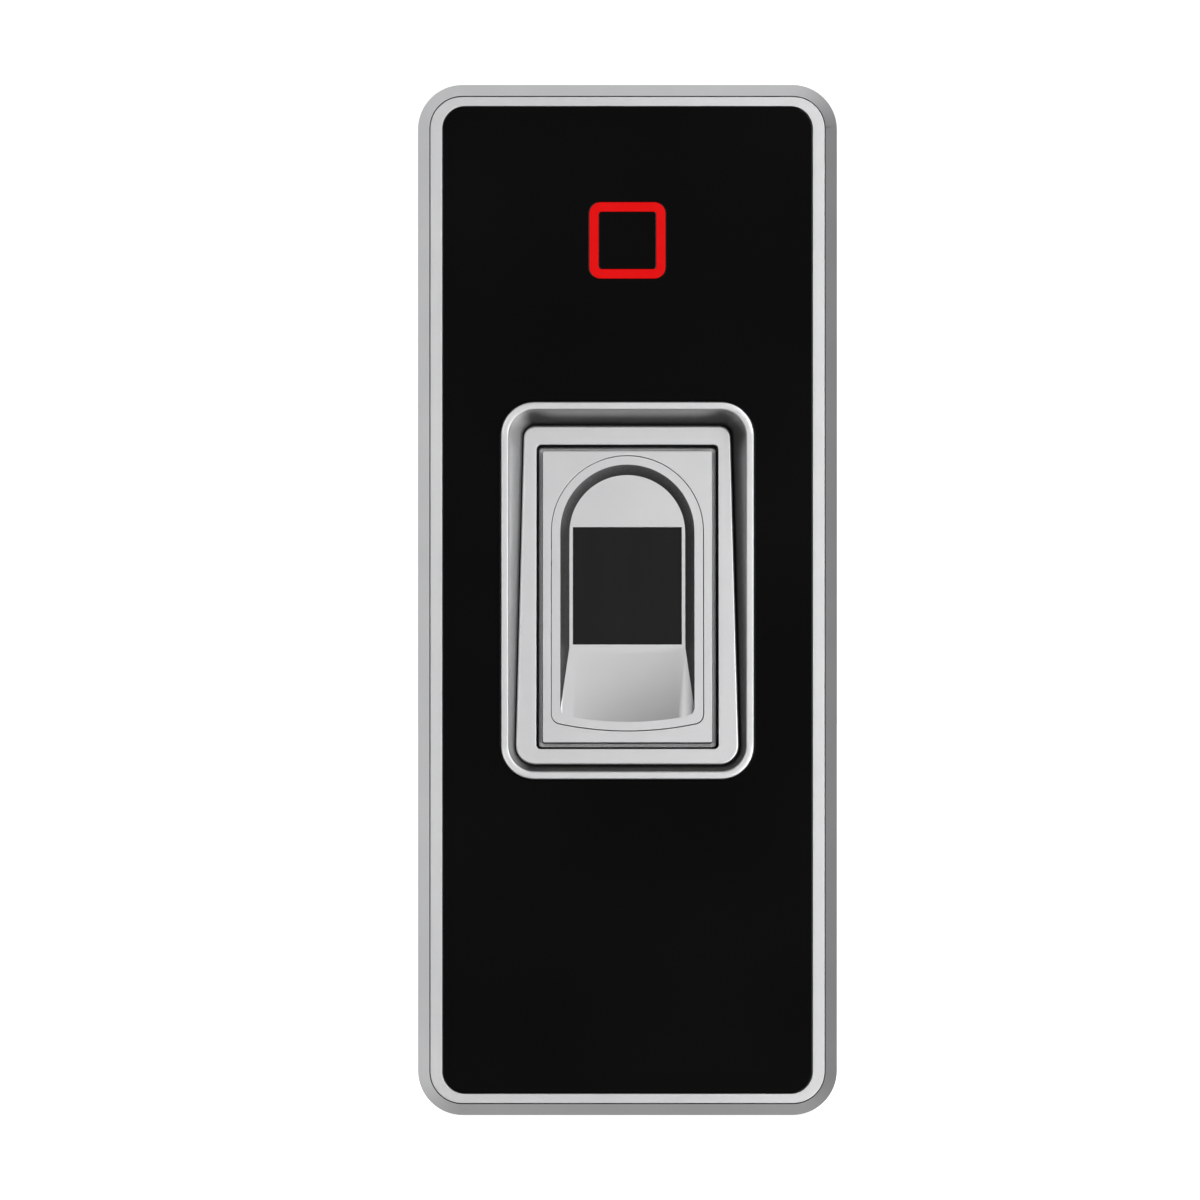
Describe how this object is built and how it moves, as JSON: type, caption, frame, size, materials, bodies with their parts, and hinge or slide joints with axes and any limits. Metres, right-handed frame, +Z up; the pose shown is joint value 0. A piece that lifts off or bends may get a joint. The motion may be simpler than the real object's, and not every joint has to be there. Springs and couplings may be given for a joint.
{
  "type": "fingerprint scanner terminal",
  "caption": "Slim wall-mounted fingerprint access terminal: silver frame, glossy black face, lit square status outline and a tilted finger recess, hung on a steel wall plate.",
  "frame": {"origin": "middle of the wall plate's back face, on the wall surface, at the height of the housing's middle", "axes": "+Z up the wall, +Y into the wall (the terminal faces -Y), +X to the right as seen from the front"},
  "size_m": [0.0602, 0.0226, 0.148],
  "materials": {
    "satin_silver": "satin silver paint on a zinc die casting",
    "bright_silver": "fine satin silver on a zinc die casting",
    "gloss_black": "glossy acrylic, printed black behind",
    "indicator_red": "lit translucent red",
    "sensor_dark": "satin scratch-resistant coating",
    "black_plastic": "fine spark texture",
    "cream_plastic": "moulded nylon",
    "black_rubber": "matt",
    "board_green": "solder mask on glass-epoxy laminate",
    "chip_black": "moulded package",
    "clear_guide": "frosted acrylic",
    "led_white": "moulded package",
    "flex_amber": "polyimide film",
    "relay_blue": "moulded case",
    "copper": "enamelled copper wire",
    "can_aluminium": "drawn can",
    "zinc_plated_steel": "zinc plated",
    "dark_steel": "black zinc"
  },
  "bodies": {
    "wall_plate": {"wall_plate": "zinc_plated_steel"},
    "terminal": {"housing": "satin_silver", "front_trim": "bright_silver", "front_panel": "gloss_black", "indicator_ring": "indicator_red", "panel_tape": "black_rubber", "front_carrier": "black_plastic", "sensor_bezel": "bright_silver", "insert_frame": "bright_silver", "face_plate": "bright_silver", "finger_guide": "bright_silver", "sensor_window": "sensor_dark", "sensor_chip": "chip_black", "sensor_board": "board_green", "sensor_pad": "black_rubber", "sensor_bracket": "zinc_plated_steel", "sensor_flex": "flex_amber", "indicator_light_guide": "clear_guide", "indicator_led_1": "led_white", "indicator_led_2": "led_white", "indicator_led_3": "led_white", "indicator_led_4": "led_white", "card_antenna": "copper", "main_board": "board_green", "flex_connector": "cream_plastic", "processor_chip": "chip_black", "card_reader_chip": "chip_black", "crystal": "can_aluminium", "buzzer": "black_plastic", "supply_capacitor": "can_aluminium", "supply_inductor": "chip_black", "relay": "relay_blue", "cable_header": "cream_plastic", "tamper_switch": "black_plastic", "tamper_spring": "zinc_plated_steel", "back_cover": "black_plastic", "cover_seal": "black_rubber", "cable_grommet": "black_rubber", "cover_screw_1": "dark_steel", "cover_screw_2": "dark_steel", "cover_screw_3": "dark_steel", "cover_screw_4": "dark_steel", "board_screw_1": "dark_steel", "board_screw_2": "dark_steel", "board_screw_3": "dark_steel", "board_screw_4": "dark_steel", "bezel_screw_1": "dark_steel", "bezel_screw_2": "dark_steel", "bezel_screw_3": "dark_steel", "bezel_screw_4": "dark_steel", "bracket_screw_1": "dark_steel", "bracket_screw_2": "dark_steel", "carrier_screw_1": "dark_steel", "carrier_screw_2": "dark_steel", "carrier_screw_3": "dark_steel", "carrier_screw_4": "dark_steel"},
    "tamper_plunger": {"tamper_plunger": "cream_plastic"},
    "lock_screw": {"lock_screw": "dark_steel"}
  },
  "joints": [
    {"name": "terminal_tilt", "type": "hinge", "parent": "wall_plate", "child": "terminal", "pos_m": [0, -0.0023, 0.06465], "axis": [-1, 0, 0], "range_deg": [0, 9]},
    {"name": "plunger_travel", "type": "slide", "parent": "terminal", "child": "tamper_plunger", "axis": [0, 1, 0], "range_m": [0, 0.0021], "deforming": ["tamper_spring"]},
    {"name": "lock_screw_travel", "type": "slide", "parent": "terminal", "child": "lock_screw", "axis": [0, 0, 1], "range_m": [0, 0.003]}
  ],
  "couplings": [
    {"joint": "plunger_travel", "follows": "terminal_tilt", "m_per_rad": 0.0127}
  ]
}
